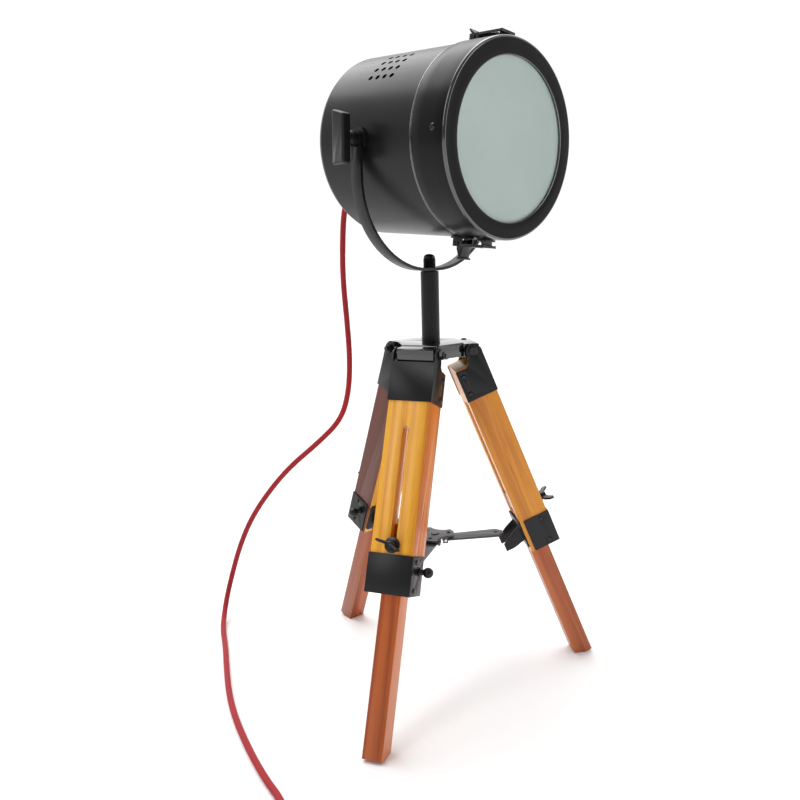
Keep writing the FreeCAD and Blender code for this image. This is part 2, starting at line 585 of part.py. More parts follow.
# front bezel: ring band with a rolled front edge and a flat annular face
br, bwl, bf = d("bezel_rad"), d("bezel_wall"), d("bezel_front")
bez = turn([(br - bwl, d("seam")), (br - 0.4, d("seam")), (br, d("seam") + 0.5), (br, bf - 4.2), (br - 0.45, bf - 2.4), (br - 1.6, bf - 0.95), (br - 3.2, bf - 0.2), (br - 5.0, bf), (d("face_hole") + 0.8, bf), (d("face_hole"), bf - 0.6),
            (d("face_hole"), d("lens_front") + 0.05), (d("lens_rad") + 1.2, d("lens_front") + 0.05), (br - bwl - 2.0, d("lens_front") + 0.05), (br - bwl, d("lens_front") - 2.0)], plane="XY_Plane")
bez.Placement = LAY
bsc = [(94.5, 86.2), (94.5, 206.2), (94.5, 326.2)]
bh = []
for x, a in bsc:
    ca, sa = math.cos(math.radians(a)), math.sin(math.radians(a))
    bh.append(cyl(1.6, 14, (x, -sa * (D["bezel_rad"] - 8), ca * (D["bezel_rad"] - 8)), (0, -sa, ca)))
bezel = cut(bez, bh)
node("front_bezel", bezel, HEAD)
bs = []
for x, a in bsc:
    ca, sa = math.cos(math.radians(a)), math.sin(math.radians(a))
    rr = D["bezel_rad"]
    bs.append(fuse([cyl(1.5, 6.0, (x, -sa * (rr - 5.9), ca * (rr - 5.9)), (0, -sa, ca)), cone(3.2, 2.1, 1.4, (x, -sa * (rr + 0.02), ca * (rr + 0.02)), (0, -sa, ca))]))
node("bezel_screws", group(bs), HEAD)

# frosted lens and the ring that holds it in the bezel
lens = turn([(0.0, d("lens_front") - d("lens_t")), (d("lens_rad"), d("lens_front") - d("lens_t")), (d("lens_rad"), d("lens_front")), (0.0, d("lens_front"))], plane="XY_Plane")
lens.Placement = LAY
node("lens_glass", lens, HEAD)
lring = turn([(d("lens_rad") - 5.0, d("lens_front") - d("lens_t") - 1.55), (br - bwl - 0.1, d("lens_front") - d("lens_t") - 1.55), (br - bwl - 0.1, d("lens_front") - d("lens_t") - 9.0),
              (br - bwl - 1.5, d("lens_front") - d("lens_t") - 9.0), (br - bwl - 1.5, d("lens_front") - d("lens_t") - 3.0), (d("lens_rad") - 5.0, d("lens_front") - d("lens_t") - 3.0)], plane="XY_Plane")
lring = turn([(d("lens_rad") - 5.0, d("lens_front") - d("lens_t") - 0.05), (br - bwl - 0.1, d("lens_front") - d("lens_t") - 0.05), (br - bwl - 0.1, d("lens_front") - d("lens_t") - 7.0),
              (br - bwl - 1.5, d("lens_front") - d("lens_t") - 7.0), (br - bwl - 1.5, d("lens_front") - d("lens_t") - 1.5), (d("lens_rad") - 5.0, d("lens_front") - d("lens_t") - 1.5)], plane="XY_Plane")
lring.Placement = LAY
node("lens_ring", lring, HEAD)

# pivot bosses: flanged bushes in the shell's sides, tapped for the tilt screws
bosses = []
for s in (-1, 1):
    bosses.append(cut(fuse([cyl(4.0, 9, (0, s * 79.0, 0), (0, s, 0)), cyl(10.5, 2.2, (0, s * 85.95, 0), (0, s, 0)), cyl(9.0, 3.4, (0, s * 80.6, 0), (0, s, 0))]),
                      [cyl(3.08, 12, (0, s * 78, 0), (0, s, 0))]))
node("pivot_bosses", group(bosses), HEAD)

# tilt knobs: screw through the yoke into the boss, collar, and a tall T bar
for sgn, side in ((-1, "left"), (1, "right")):
    y0 = D["yoke_half"] + D["yoke_t"] / 2
    scrw = Part.makeCylinder(3.0, y0 - 80.0 + 6, V(0, sgn * 80.0, 0), V(0, sgn, 0))
    collar = Part.makeCylinder(7.0, 6.0, V(0, sgn * (y0 + 0.3), 0), V(0, sgn, 0))
    neck = Part.makeCone(7.0, 6.0, 5.0, V(0, sgn * (y0 + 6.3), 0), V(0, sgn, 0))
    yk = sgn * (y0 + 10.3)
    pl = [V(-8, yk, 24), V(8, yk, 20), V(8, yk, -22), V(-8, yk, -24)]
    bar = Part.Face(Part.makePolygon(pl + [pl[0]])).extrude(V(0, sgn * 9.5, 0))
    bar = bar.makeFillet(2.0, [e for e in bar.Edges])
    kb = scrw.fuse([collar, neck, bar]).removeSplitter()
    o = doc.addObject("Part::Feature", nm("knob"))
    o.Shape = kb
    node("tilt_knob_" + side, o, HEAD)

# lampholder bracket, lampholder, bulb and its cap
lb = fuse([cyl(22, 2.0, (-65.15, 0, 0), (1, 0, 0)), box(20, 1.6, 30, (-63.2, -17, -15)), box(20, 1.6, 30, (-63.2, 15.4, -15)), box(1.6, 34, 30, (-44.8, -17, -15))])
lampb = cut(lb, [cyl(6, 30, (-70, 0, 0), (1, 0, 0)), cyl(1.6, 10, (-70, 0, 14), (1, 0, 0)), cyl(1.6, 10, (-70, 0, -14), (1, 0, 0))])
node("lamp_bracket", lampb, HEAD)
hold = cut(fuse([cyl(16, 3, (-43.15, 0, 0), (1, 0, 0)), cyl(18.5, 32, (-40.2, 0, 0), (1, 0, 0)), cone(18.5, 20, 3, (-8.2, 0, 0), (1, 0, 0))]), [cyl(13.6, 40, (-30, 0, 0), (1, 0, 0))])
node("lampholder", hold, HEAD)
cap = turn([(0.0, -29.8), (6.0, -29.8), (13.0, -25.0), (13.0, -4.0), (13.4, -2.0), (0.0, -2.0)], plane="XY_Plane")
cap.Placement = LAY
node("bulb_cap", cap, HEAD)
bulb = turn([(0.0, -1.95), (13.2, -1.95), (15.0, 6.0), (21.0, 18.0), (27.5, 29.0), (30.0, 40.0), (28.5, 51.0), (22.5, 61.5), (13.0, 68.5), (0.0, 71.0)], plane="XY_Plane")
bulb.Placement = LAY
node("bulb_glass", bulb, HEAD)

# cable gland with a tapered, ribbed strain relief on the rear cover
gx = -(D["head_back"] + 10.0)
gl = turn([(0.0 + D["cord_rad"] + 0.0, 9.0), (5.0, 9.0), (5.0, -0.05), (8.0, -0.05), (8.0, -3.0), (6.6, -4.2), (6.2, -8.0), (5.9, -8.6), (6.1, -9.4), (5.6, -13.4), (5.2, -14.0), (5.4, -14.8), (4.9, -19.0), (4.5, -19.6), (4.7, -20.4), (4.15, -24.0), (D["cord_rad"], -24.0)], plane="XY_Plane")
gl.Placement = FreeCAD.Placement(V(gx, GY, GZ), FreeCAD.Rotation(Z, -90))
node("cable_gland", gl, HEAD)

# rocker switch on the rear cover
swx = gx
sw = cut(fuse([box(3.0, 23.0, 16.0, (swx - 3.0, SWY - 11.5, SWZ - 8.0)), box(14.0, 19.0, 12.6, (swx - 0.1, SWY - 9.5, SWZ - 6.3))]),
         [box(9.0, 16.4, 10.4, (swx - 4.0, SWY - 8.2, SWZ - 5.2))])
node("switch_housing", sw, HEAD)
# rocker: shallow V-backed key pivoting across its middle, shown pressed at one end
rk = Part.Face(Part.makePolygon([V(0, -7.6, 0), V(-2.4, -7.2, 0), V(-1.2, 0, 0), V(-2.4, 7.2, 0), V(0, 7.6, 0), V(3.0, 3.4, 0), V(3.6, 0, 0), V(3.0, -3.4, 0), V(0, -7.6, 0)])).extrude(V(0, 0, 9.8))
rk = rk.fuse(Part.makeCylinder(1.0, 10.2, V(0.9, 0, -0.2))).removeSplitter()
o = doc.addObject("Part::Feature", nm("rocker"))
o.Shape = rk
o.Placement = FreeCAD.Placement(V(swx - 0.6, SWY, SWZ - 4.9), FreeCAD.Rotation(V(0, 0, 1), 6))
node("switch_rocker", o, HEAD)

# toggle latches over the seam at the top and the bottom
plates, levers = [], []
for sgn, side in ((1, "top"), (-1, "bottom")):
    hrv, brv = D["head_rad"], D["bezel_rad"]
    r0 = hrv - 0.45   # foot of the base plate, its edges meet the curved shell
    # base with two cheeks on the barrel
    base = Part.makeBox(17.8, 16, 1.8, V(50, -8, r0 + 0.45))
    base = base.fuse([Part.makeBox(11.5, 1.4, 8.6, V(53, y, r0 + 1.0)) for y in (-8.0, 6.6)])
    base = base.fuse([Part.makeCylinder(1.5, 0.8, V(x, 0, r0 + 2.2)) for x in (52.0, 65.8)])
    base = base.cut(Part.makeCylinder(1.35, 30, V(59, -15, r0 + 6.6), V(0, 1, 0)))
    # catch on the bezel: foot and an upright that the cross bar stands in front of
    c0 = brv - 0.45
    cat = Part.Face(Part.makePolygon([V(81, 0, c0 + 0.45), V(93.5, 0, c0 + 0.45), V(93.5, 0, c0 + 2.2), V(89.9, 0, c0 + 2.2), V(89.9, 0, c0 + 8.0),
                                      V(88.0, 0, c0 + 8.0), V(88.0, 0, c0 + 4.4), V(85.8, 0, c0 + 2.2), V(81, 0, c0 + 2.2), V(81, 0, c0 + 0.45)])).extrude(V(0, 13, 0))
    cat.translate(V(0, -6.5, 0))
    # lever: pivot barrel between the cheeks, thumb tail, body plate
    lz = r0 + 6.6
    lev = Part.makeCylinder(3.1, 12.4, V(59, -6.2, lz), V(0, 1, 0)).fuse(Part.makeCylinder(1.25, 17.6, V(59, -8.8, lz), V(0, 1, 0)))
    if sgn > 0:
        tp = [(59, -2.4), (59, 3.2), (55.5, 5.0), (51.2, 8.6), (50.3, 7.6), (53.8, 3.4), (55.8, 0.6)]
    else:
        tp = [(58.0, -2.0), (56.4, 1.0), (56.8, 6.0), (59.4, 12.4), (57.6, 13.6), (57.8, 15.0), (64.6, 15.0), (64.9, 13.6), (62.6, 12.6), (63.8, 6.0), (66.0, 3.0), (62.0, -0.5)]
    tail = Part.Face(Part.makePolygon([V(x, 0, lz + h) for x, h in tp + [tp[0]]])).extrude(V(0, 12.0, 0))
    tail.translate(V(0, -6.0, 0))
    lev = lev.fuse(tail)
    lev = lev.fuse(Part.makeBox(21, 12.0, 2.4, V(59, -6.0, lz + 0.8)))
    # bail: two side rods and a cross bar that stands in front of the catch's upright
    rods = [Part.makeBox(27.6, 1.8, 2.2, V(65.2, y, lz + 0.5)) for y in (-9.0, 7.2)]
    bar = Part.makeBox(2.4, 18.0, 2.4, V(90.4, -9.0, lz + 0.4))
    root = Part.makeBox(3.0, 18.0, 2.2, V(65.2, -9.0, lz + 0.5))
    lev = lev.fuse(rods + [bar, root]).removeSplitter()
    # the pair sits a few degrees round the barrel
    for s in (base, cat, lev):
        s.rotate(V(0, 0, 0), V(1, 0, 0), D["latch_az"] + (0 if sgn > 0 else 180))
    plates += [base, cat]
    o = doc.addObject("Part::Feature", nm("latch"))
    o.Shape = lev
    node("latch_lever_" + side, o, HEAD)
o = doc.addObject("Part::Feature", nm("latch_plates"))
o.Shape = Part.Compound(plates)
node("latch_plates", o, HEAD)

# ---------------------------------------------------------------- lead
# route in the spindle frame: out of the relief, down, then along the floor
cr = D["cord_rad"]
exit_local = V(gx - 24.0, GY, GZ)
EX = HEAD.multVec(exit_local) - ORG
back = HEAD.Rotation.multVec(V(-1, 0, 0))
ROUTE = [V(EX.x, EX.y, EX.z), EX + back * 19.5]
for run, turn_deg in ((20.0, 30), (20.5, 60)):
    ca, sa = math.cos(math.radians(turn_deg)), math.sin(math.radians(turn_deg))
    ROUTE.append(ROUTE[-1] + back * (run * ca) - Z * (run * sa))
ROUTE += [V(*p) for p in (
    (-95.3, 104.6, 455.1), (-95.7, 104.6, 420.4), (-93.3, 104.1, 379.3), (-91.7, 104.6, 335.0),
    (-94.7, 106.1, 294.5), (-105.5, 110.1, 260.2), (-134.9, 118.1, 230.8), (-173.4, 128.1, 197.8),
    (-204.7, 138.1, 160.4), (-228.4, 147.1, 124.5), (-245.8, 154.1, 86.2), (-257.8, 157.1, 49.9),
    (-263.9, 146.5, 24.5), (-264.5, 126.5, 7.5), (-260.0, 99.0, 3.25), (-247.1, 54.6, 3.25),
    (-235.1, 5.1, 3.25), (-221.5, -45.4, 3.25), (-207.3, -85.7, 3.25), (-190.3, -124.3, 3.25),
    (-173.8, -158.1, 3.25), (-157.4, -187.9, 3.25), (-140.5, -214.0, 3.25), (-129.2, -248.5, 3.25),
    (-124.6, -284.9, 3.25),
)]


def tube_path(pts):
    """Straight runs joined by tangent arcs, each arc as large as its runs allow."""
    n = len(pts)
    runs = [(pts[i + 1] - pts[i]).Length for i in range(n - 1)]
    edges, radii, length = [], [], 0.0
    cur = pts[0]
    for i in range(1, n - 1):
        a, b = (pts[i - 1] - pts[i]), (pts[i + 1] - pts[i])
        a.normalize()
        b.normalize()
        half = (math.pi - a.getAngle(b)) / 2
        cutl = 0.45 * min(runs[i - 1], runs[i])
        r = cutl / math.tan(half)
        radii.append(round(r, 1))
        p1, p2 = pts[i] + a * cutl, pts[i] + b * cutl
        bis = a + b
        bis.normalize()
        c = pts[i] + bis * (r / math.cos(half))
        m = c - bis * r
        edges.append(Part.LineSegment(cur, p1).toShape())
        edges.append(Part.Arc(p1, m, p2).toShape())
        length += (p1 - cur).Length + r * 2 * half
        cur = p2
    edges.append(Part.LineSegment(cur, pts[-1]).toShape())
    length += (pts[-1] - cur).Length
    return Part.Wire(edges), radii, runs, length


def tube_solid(pts, r, label):
    wire, radii, runs, length = tube_path(pts)
    dirn = pts[1] - pts[0]
    circ = Part.Wire([Part.Edge(Part.Circle(pts[0], dirn, r))])
    s = wire.makePipeShell([circ], True, False)
    if s.Volume < 0:
        s.reverse()
    want = math.pi * r * r * length
    print(label, "radii", radii, "runs", [round(x, 1) for x in runs], "length", round(length, 1), "volume ratio", round(s.Volume / want, 4))
    return s, length


# the hanging stretch near the head and the rest are two solids that meet face to face
CUT_AT = 6
wire, radii, runs, total = tube_path(ROUTE)
mid = (ROUTE[CUT_AT] + ROUTE[CUT_AT + 1]) * 0.5
up_pts = ROUTE[:CUT_AT + 1] + [mid]
lo_pts = [mid] + ROUTE[CUT_AT + 1:]
sU, lU = tube_solid(up_pts, cr, "cord_upper")
sL, lL = tube_solid(lo_pts, cr, "cord_lower")
for lab, s in (("cord_upper", sU), ("cord_lower", sL)):
    o = doc.addObject("Part::Feature", nm("lead"))
    o.Shape = s
    node(lab, o, BASE)
# coil of the length that lies out of sight, one closed ring
CX, CY = -87.7, -276.4
coil_r, coil_h = 34.5, 2 * 2 * cr + 0.2
ring = Part.makeCylinder(coil_r + 2 * cr, coil_h, V(CX, CY, 0.1)).cut(Part.makeCylinder(coil_r - 2 * cr, coil_h + 2, V(CX, CY, -1)))
end = ROUTE[-1]
o = doc.addObject("Part::Feature", nm("coil"))
o.Shape = ring
node("cord_coil", o, BASE)
# plug beside the coil: round body, grip and two pins
# the relief's tip leaves the ring on a tangent
u, v = V(math.cos(math.radians(285)), math.sin(math.radians(285)), 0), V(-math.sin(math.radians(285)), math.cos(math.radians(285)), 0)
pt_ = V(CX, CY, 0) + u * coil_r + v * (20.0 + 28.0)
px, py = pt_.x, pt_.y
PR = 13.5
plug = Part.makeCylinder(PR, 22, V(0, 0, 0), V(1, 0, 0)).fuse([Part.makeCone(PR, 8.5, 10, V(0, 0, 0), V(-1, 0, 0)), Part.makeCone(6.0, 4.2, 18, V(-10, 0, 0), V(-1, 0, 0)),
        Part.makeCylinder(2.4, 19, V(22, -9.5, 0), V(1, 0, 0)), Part.makeCylinder(2.4, 19, V(22, 9.5, 0), V(1, 0, 0))]).removeSplitter()
o = doc.addObject("Part::Feature", nm("plug"))
o.Shape = plug
o.Placement = FreeCAD.Placement(V(px, py, PR + 0.1), FreeCAD.Rotation(Z, 15))
node("plug", o, BASE)
print("cord total", round(lU + lL, 1), "exit", EX, "end", ROUTE[-1])

# ---------------------------------------------------------------- checks and files
doc.recompute()
bad = [o.Label + " " + str(o.State) for o in doc.Objects if "Invalid" in o.State or "Error" in o.State]
for o in NODES:
    s = o.Shape
    if s.isNull() or not s.isValid() or not s.Solids:
        bad.append(o.Label + " shape null/invalid/no solid")
labels = [o.Label for o in NODES]
if len(set(labels)) != len(labels):
    bad.append("labels repeat")
if bad:
    for b_ in bad:
        print("BAD", b_)
    raise SystemExit("the model has failed objects")
os.makedirs("parts", exist_ok=True)
for f in os.listdir("parts"):
    if f.endswith(".step") and f[:-5] not in labels:
        os.remove(os.path.join("parts", f))
CORD = {"cord_upper", "cord_lower", "cord_coil", "plug"}
bb = FreeCAD.BoundBox()
for o in NODES:
    o.Shape.exportStep("parts/%s.step" % o.Label)
    if o.Label not in CORD:
        b_ = o.Shape.BoundBox
        bb.add(b_)
    print("%-20s solids %d vol %.1f z %.2f..%.2f" % (o.Label, len(o.Shape.Solids), o.Shape.Volume, o.Shape.BoundBox.ZMin, o.Shape.BoundBox.ZMax))
print("nodes", len(NODES), "box", bb)
print("centre offset", round((bb.XMin + bb.XMax) / 2, 3), round((bb.YMin + bb.YMax) / 2, 3), "zmin", round(bb.ZMin, 4))
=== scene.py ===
import bpy, bmesh, math
import numpy as np
from mathutils import Vector, Matrix, Euler


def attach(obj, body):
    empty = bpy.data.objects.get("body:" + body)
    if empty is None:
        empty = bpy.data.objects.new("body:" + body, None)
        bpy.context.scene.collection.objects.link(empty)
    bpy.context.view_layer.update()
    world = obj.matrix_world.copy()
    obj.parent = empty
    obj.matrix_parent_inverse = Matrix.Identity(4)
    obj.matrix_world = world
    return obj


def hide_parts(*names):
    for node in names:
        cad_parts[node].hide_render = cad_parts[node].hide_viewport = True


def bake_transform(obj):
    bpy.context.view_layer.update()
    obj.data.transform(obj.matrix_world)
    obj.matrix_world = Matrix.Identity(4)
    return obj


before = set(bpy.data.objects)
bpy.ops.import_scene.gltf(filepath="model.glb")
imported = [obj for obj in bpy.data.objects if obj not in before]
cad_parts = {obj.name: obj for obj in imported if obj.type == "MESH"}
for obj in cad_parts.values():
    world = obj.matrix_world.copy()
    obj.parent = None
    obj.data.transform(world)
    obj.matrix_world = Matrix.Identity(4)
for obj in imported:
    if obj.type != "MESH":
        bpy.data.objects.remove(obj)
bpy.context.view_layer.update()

scene = bpy.context.scene

# ------------------------------------------------------------------ shared sizes (metres, row frame)
AX, AY = -0.030085, 0.011554
LEG_AZ = {"a": -21.8, "b": 98.2, "c": -141.8}
PAN, TILT, PIVOT_Z = math.radians(42.9), math.radians(-2.9), 0.5589


def leg_matrix(tag):
    """x outward from the leg's face, y across, z up along the leg, origin at the hinge."""
    th, ph = math.radians(LEG_AZ[tag]), math.radians(22.1)
    org = Vector((AX + 0.0393 * math.sin(th), AY - 0.0393 * math.cos(th), 0.3573))
    r = Matrix.Rotation(th - math.pi / 2, 4, "Z") @ Matrix.Rotation(-ph, 4, "Y")
    return Matrix.Translation(org) @ r


HEAD = Matrix.Translation((AX, AY, PIVOT_Z)) @ Matrix.Rotation(PAN - math.pi / 2, 4, "Z") @ Matrix.Rotation(-TILT, 4, "Y")

# ------------------------------------------------------------------ camera
cam_data = bpy.data.cameras.new("camera")
cam = bpy.data.objects.new("camera", cam_data)
scene.collection.objects.link(cam)
scene.camera = cam
F_PX, CX, CY = 790.3, 449.4, 399.8
cam_data.sensor_width = 36.0
cam_data.sensor_fit = "HORIZONTAL"
cam_data.lens = F_PX / 800.0 * 36.0
cam_data.shift_x = (400.0 - CX) / 800.0
cam_data.shift_y = (CY - 400.0) / 800.0
cam_data.clip_start, cam_data.clip_end = 0.05, 50
yw, pt, rl = math.radians(2.9), math.radians(-11.6), math.radians(-0.9)
fwd = Vector((math.sin(yw) * math.cos(pt), math.cos(yw) * math.cos(pt), math.sin(pt)))
rgt = Vector((math.cos(yw), -math.sin(yw), 0.0))
upv = rgt.cross(fwd)
r2 = rgt * math.cos(rl) + upv * math.sin(rl)
u2 = -rgt * math.sin(rl) + upv * math.cos(rl)
m = Matrix((r2, u2, -fwd)).transposed().to_4x4()
m.translation = Vector((-0.0230 + AX, -0.8103 + AY, 0.4702))
cam.matrix_world = m


# ------------------------------------------------------------------ node helpers
def new_mat(name):
    mt = bpy.data.materials.new(name)
    mt.use_nodes = True
    nt = mt.node_tree
    nt.nodes.clear()
    out = nt.nodes.new("ShaderNodeOutputMaterial")
    bs = nt.nodes.new("ShaderNodeBsdfPrincipled")
    nt.links.new(bs.outputs[0], out.inputs[0])
    return mt, nt, bs


def nd(nt, kind, **kw):
    n = nt.nodes.new(kind)
    for k, v in kw.items():
        if k.startswith("_"):
            setattr(n, k[1:], v)
        else:
            n.inputs[k.replace("__", " ")].default_value = v
    return n


def ramp(nt, fac, stops):
    n = nt.nodes.new("ShaderNodeValToRGB")
    el = n.color_ramp.elements
    while len(el) > 1:
        el.remove(el[-1])
    el[0].position, el[0].color = stops[0][0], (*stops[0][1], 1)
    for p, c in stops[1:]:
        e = el.new(p)
        e.color = (*c, 1)
    nt.links.new(fac, n.inputs[0])
    return n.outputs[0]


def grey(v):
    return (v, v, v)


def coords(nt, mat=None, scale=(1, 1, 1)):
    tc = nt.nodes.new("ShaderNodeTexCoord")
    mp = nt.nodes.new("ShaderNodeMapping")
    mp.vector_type = "TEXTURE"
    nt.links.new(tc.outputs["Object"], mp.inputs[0])
    if mat is not None:
        mp.inputs["Location"].default_value = mat.translation
        mp.inputs["Rotation"].default_value = mat.to_euler()
    if scale == (1, 1, 1):
        return mp.outputs[0]
    m2 = nt.nodes.new("ShaderNodeMapping")
    m2.inputs["Scale"].default_value = scale
    nt.links.new(mp.outputs[0], m2.inputs[0])
    return m2.outputs[0]


def noise(nt, vec, scale, detail=4.0, rough=0.5, dist=0.0):
    n = nt.nodes.new("ShaderNodeTexNoise")
    n.inputs["Scale"].default_value = scale
    n.inputs["Detail"].default_value = detail
    n.inputs["Roughness"].default_value = rough
    n.inputs["Distortion"].default_value = dist
    nt.links.new(vec, n.inputs["Vector"])
    return n.outputs["Fac"]


def bump(nt, bs, height, strength, dist):
    b = nt.nodes.new("ShaderNodeBump")
    b.inputs["Strength"].default_value = strength
    b.inputs["Distance"].default_value = dist
    nt.links.new(height, b.inputs["Height"])
    nt.links.new(b.outputs[0], bs.inputs["Normal"])
    return b


def math_node(nt, op, a, b=None, clamp=False):
    n = nt.nodes.new("ShaderNodeMath")
    n.operation = op
    n.use_clamp = clamp
    for i, v in enumerate((a, b)):
        if v is None:
            continue
        if isinstance(v, (int, float)):
            n.inputs[i].default_value = v
        else:
            nt.links.new(v, n.inputs[i])
    return n.outputs[0]


def mix_rgb(nt, fac, a, b, mode="MIX"):
    n = nt.nodes.new("ShaderNodeMix")
    n.data_type = "RGBA"
    n.blend_type = mode
    for i, v in ((0, fac), (6, a), (7, b)):
        if isinstance(v, (int, float)):
            n.inputs[i].default_value = v
        elif isinstance(v, tuple):
            n.inputs[i].default_value = (*v, 1)
        else:
            nt.links.new(v, n.inputs[i])
    return n.outputs[2]


def painted(name, base, rough, rough_var=0.06, grain=2200.0, grain_h=0.00004, spec=0.5, coat=0.0, coat_rough=0.1, smudge=9.0, metallic=0.0, tint=0.35):
    """Painted or moulded surface: fine coat texture, slow changes of sheen, faint dust."""
    mt, nt, bs = new_mat(name)
    v = coords(nt)
    slow = noise(nt, v, smudge, 5, 0.55)
    fine = noise(nt, v, grain, 2, 0.5)
    dark = tuple(c * (1 - tint * 0.5) for c in base)
    light = tuple(min(1, c * (1 + tint) + 0.002) for c in base)
    nt.links.new(ramp(nt, slow, [(0.3, dark), (0.7, light)]), bs.inputs["Base Color"])
    r = ramp(nt, slow, [(0.25, grey(max(0.02, rough - rough_var))), (0.75, grey(min(1, rough + rough_var)))])
    nt.links.new(r, bs.inputs["Roughness"])
    bs.inputs["Specular IOR Level"].default_value = spec
    bs.inputs["Coat Weight"].default_value = coat
    bs.inputs["Coat Roughness"].default_value = coat_rough
    bs.inputs["Metallic"].default_value = metallic
    bump(nt, bs, fine, 0.35, grain_h)
    return mt


def wood(name, tag, light, mid, dark, side_light_shade, seed, rough=0.32):
    """Lacquered straight-grained wood, its grain along the leg."""
    mt, nt, bs = new_mat(name)
    base = coords(nt, leg_matrix(tag))
    off = nt.nodes.new("ShaderNodeMapping")
    off.inputs["Location"].default_value = (seed * 0.37, seed * 0.11, seed * 0.23)
    nt.links.new(base, off.inputs[0])
    # growth bands: a stretched warp bends long lines
    lng = nt.nodes.new("ShaderNodeMapping")
    lng.inputs["Scale"].default_value = (1, 1, 0.045)
    nt.links.new(off.outputs[0], lng.inputs[0])
    warp = noise(nt, lng.outputs[0], 26.0, 3, 0.5)
    wv = nt.nodes.new("ShaderNodeTexWave")
    wv.wave_type, wv.bands_direction, wv.wave_profile = "BANDS", "Y", "SIN"
    wv.inputs["Scale"].default_value = 26.0
    wv.inputs["Distortion"].default_value = 7.5
    wv.inputs["Detail"].default_value = 3.0
    wv.inputs["Detail Scale"].default_value = 1.6
    nt.links.new(lng.outputs[0], wv.inputs["Vector"])
    # pores and streaks
    st = nt.nodes.new("ShaderNodeMapping")
    st.inputs["Scale"].default_value = (1, 1, 0.022)
    nt.links.new(off.outputs[0], st.inputs[0])
    streak = noise(nt, st.outputs[0], 620.0, 3, 0.6)
    pores = noise(nt, st.outputs[0], 1900.0, 2, 0.5)
    broad = noise(nt, lng.outputs[0], 34.0, 4, 0.55)
    f = math_node(nt, "MULTIPLY", wv.outputs["Fac"], 0.34)
    f = math_node(nt, "ADD", f, math_node(nt, "MULTIPLY", streak, 0.42))
    f = math_node(nt, "ADD", f, math_node(nt, "MULTIPLY", broad, 0.42))
    f = math_node(nt, "ADD", f, math_node(nt, "MULTIPLY", warp, 0.12), clamp=True)
    col = ramp(nt, f, [(0.36, dark), (0.55, mid), (0.80, light)])
    # the side faces are multiplied by a per-leg colour: painted shade where it darkens them, painted light where it
    # brightens them
    sx = nt.nodes.new("ShaderNodeSeparateXYZ")
    nt.links.new(base, sx.inputs[0])
    ay = math_node(nt, "ABSOLUTE", sx.outputs[1])
    isside = math_node(nt, "GREATER_THAN", ay, side_light_shade[3])
    col2 = mix_rgb(nt, 1.0, col, side_light_shade[:3], "MULTIPLY")
    col3 = mix_rgb(nt, isside, col, col2)
    pore_mask = ramp(nt, pores, [(0.30, grey(0.72)), (0.42, grey(1.0))])
    col4 = mix_rgb(nt, 0.55, col3, mix_rgb(nt, 1.0, col3, pore_mask, "MULTIPLY"))
    nt.links.new(col4, bs.inputs["Base Color"])
    rr = ramp(nt, broad, [(0.3, grey(rough - 0.05)), (0.7, grey(rough + 0.08))])
    nt.links.new(rr, bs.inputs["Roughness"])
    bs.inputs["Specular IOR Level"].default_value = 0.38
    bs.inputs["Coat Weight"].default_value = 0.16
    bs.inputs["Coat Roughness"].default_value = 0.2
    bump(nt, bs, math_node(nt, "ADD", math_node(nt, "MULTIPLY", streak, 0.6), math_node(nt, "MULTIPLY", pores, 0.4)), 0.22, 0.00018)
    return mt


# ------------------------------------------------------------------ cord (route points as the CAD has them)
EXIT = HEAD @ Vector((-0.0908, 0.004, -0.038))
BACK = (HEAD.to_3x3() @ Vector((-1, 0, 0)))
CR = 0.00315
ox = Vector((AX, AY, 0))
UPZ = Vector((0, 0, 1))
ROUTE = [EXIT - ox, EXIT - ox + BACK * 0.0195]
for run, turn in ((0.020, 30), (0.0205, 60)):
    ROUTE.append(ROUTE[-1] + BACK * (run * math.cos(math.radians(turn))) - UPZ * (run * math.sin(math.radians(turn))))
ROUTE += [Vector(p) * 0.001 for p in (
    (-95.3, 104.6, 455.1), (-95.7, 104.6, 420.4), (-93.3, 104.1, 379.3), (-91.7, 104.6, 335.0),
    (-94.7, 106.1, 294.5), (-105.5, 110.1, 260.2), (-134.9, 118.1, 230.8), (-173.4, 128.1, 197.8),
    (-204.7, 138.1, 160.4), (-228.4, 147.1, 124.5), (-245.8, 154.1, 86.2), (-257.8, 157.1, 49.9),
    (-263.9, 146.5, 24.5), (-264.5, 126.5, 7.5), (-260.0, 99.0, 3.25), (-247.1, 54.6, 3.25),
    (-235.1, 5.1, 3.25), (-221.5, -45.4, 3.25), (-207.3, -85.7, 3.25), (-190.3, -124.3, 3.25),
    (-173.8, -158.1, 3.25), (-157.4, -187.9, 3.25), (-140.5, -214.0, 3.25), (-129.2, -248.5, 3.25))]
# neat coil of the length that lies out of sight: two turns on the floor, then one on top, then into the plug
CXC, CYC, CRM = -0.0877, -0.2764, 0.0345
A0 = 193.0


def ease(q):
    q = max(0.0, min(1.0, q))
    return q * q * (3 - 2 * q)


def coil_point(t):
    r = 0.03785 - 0.0067 * ease((t - 1.0) / 0.25)
    z = 0.00325 + 0.0064 * ease((t - 1.9) / 0.25)
    r += 0.0066 * ease((t - 2.4) / 0.75) + 0.0003 * ease((t - 3.1) / 0.2)
    z += 0.0016 * ease((t - 2.95) / 0.34)
    a = math.radians(A0 + 360 * t)
    return Vector((CXC + r * math.cos(a), CYC + r * math.sin(a), z))


T_END = 1184.0 / 360.0
COIL = [coil_point(T_END * i / 42.0) for i in range(43)]
th_ = math.radians(285)
uu, vv = Vector((math.cos(th_), math.sin(th_), 0)), Vector((-math.sin(th_), math.cos(th_), 0))
tip = Vector((CXC, CYC, 0)) + uu * 0.0345 + vv * 0.020
COIL += [tip - vv * 0.004 + Vector((0, 0, 0.0130)), tip + vv * 0.003 + Vector((0, 0, 0.0136))]
route = [p + ox for p in ROUTE + COIL]


